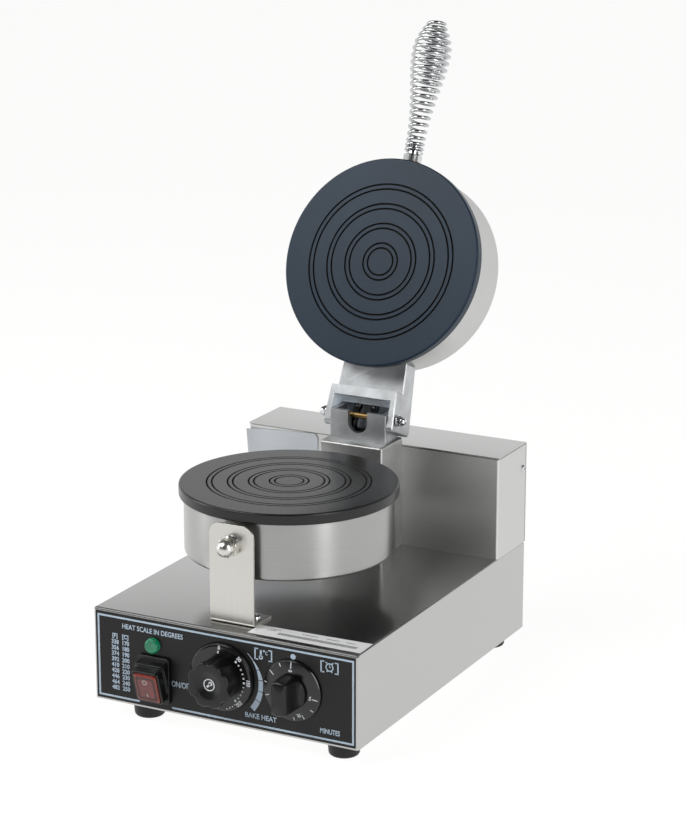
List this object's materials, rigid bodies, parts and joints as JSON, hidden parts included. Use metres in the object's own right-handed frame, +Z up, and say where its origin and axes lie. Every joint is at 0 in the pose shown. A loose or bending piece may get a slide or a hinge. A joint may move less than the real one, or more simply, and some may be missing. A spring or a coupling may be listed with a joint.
{
  "type": "round waffle maker",
  "caption": "Countertop round waffle maker with a hinged upper plate, a coil-spring handle, a raised rear box and a front panel with two dials, a rocker switch and a lamp",
  "frame": {"origin": "on the table, below the middle of the whole object's box with the lid open", "axes": "+X to the right seen from the control panel, +Y to the back, +Z up"},
  "size_m": [0.241, 0.4121, 0.5289],
  "materials": {
    "stainless_steel": "brushed along the sheet",
    "cast_steel": "satin casting, machined edges",
    "coated_cast_plate": "dark non-stick coating, fine grain",
    "bright_fasteners": "bright plated",
    "spring_chrome": "bright plated spring wire",
    "copper_washer": "copper-coloured, satin",
    "brass_pin": "plain brass",
    "heater_sheath": "heat-tinted sheath",
    "mineral_wool": "fibrous felt",
    "lead_sleeve": "glossy sleeve",
    "black_panel": "printed glossy panel",
    "black_dial": "satin with white printing",
    "black_plastic": "satin moulded",
    "black_rubber": "soft rubber",
    "red_rocker": "translucent, lit rim",
    "green_lens": "translucent",
    "control_metal": "plated sheet",
    "white_ceramic": "glazed"
  },
  "bodies": {
    "base": {"base_housing": "stainless_steel", "bottom_cover": "stainless_steel", "bracket_dome_nut": "bright_fasteners", "bracket_nuts": "bright_fasteners", "bracket_screws": "bright_fasteners", "bracket_stud": "bright_fasteners", "bracket_washer": "bright_fasteners", "cable_gland": "black_plastic", "carrier_nuts": "bright_fasteners", "fascia_overlay": "black_panel", "front_bracket": "stainless_steel", "gland_nut": "bright_fasteners", "hinge_block": "cast_steel", "hinge_leads": "lead_sleeve", "hinge_nuts": "bright_fasteners", "hinge_pedestal": "stainless_steel", "hinge_pin": "brass_pin", "hinge_washers": "bright_fasteners", "lamp_body": "black_plastic", "lamp_lens": "green_lens", "lower_baking_plate": "coated_cast_plate", "lower_heating_element": "heater_sheath", "lower_insulation": "mineral_wool", "lower_pan": "stainless_steel", "pan_carrier_tube": "stainless_steel", "rear_box_body": "stainless_steel", "rear_box_cover": "stainless_steel", "rubber_feet": "black_rubber", "switch_body": "black_plastic", "switch_boot": "black_rubber", "temperature_sensor": "brass_pin", "terminal_block": "white_ceramic", "thermostat_body": "control_metal", "timer_body": "control_metal"},
    "lid": {"upper_baking_plate": "coated_cast_plate", "upper_pan": "stainless_steel", "upper_heating_element": "heater_sheath", "upper_insulation": "mineral_wool", "lid_arm": "cast_steel", "lid_arm_screws": "bright_fasteners", "handle_stud": "bright_fasteners", "handle_inner_nut": "bright_fasteners", "handle_bush": "bright_fasteners", "handle_washer": "copper_washer", "handle_ferrule": "bright_fasteners", "handle_coil": "spring_chrome"},
    "thermostat_knob": {"thermostat_dial": "black_dial", "thermostat_knob": "black_plastic", "thermostat_shaft": "bright_fasteners"},
    "timer_knob": {"timer_dial": "black_dial", "timer_knob": "black_plastic", "timer_shaft": "bright_fasteners"},
    "rocker": {"power_rocker": "red_rocker"}
  },
  "joints": [
    {"name": "lid_hinge", "type": "hinge", "parent": "base", "child": "lid", "pos_m": [0, 0.0585, 0.2079], "axis": [1, 0, 0], "range_deg": [0, 112.5], "deforming": ["hinge_leads"]},
    {"name": "thermostat_turn", "type": "hinge", "parent": "base", "child": "thermostat_knob", "pos_m": [0, -0.182, 0.0543], "axis": [0, 1, 0], "range_deg": [0, 285]},
    {"name": "timer_turn", "type": "hinge", "parent": "base", "child": "timer_knob", "pos_m": [0.0633, -0.182, 0.0543], "axis": [0, 1, 0], "range_deg": [0, 320]},
    {"name": "rocker_tilt", "type": "hinge", "parent": "base", "child": "rocker", "pos_m": [-0.0627, -0.175, 0.041], "axis": [-1, 0, 0], "range_deg": [0, 33], "deforming": ["switch_boot"]}
  ]
}
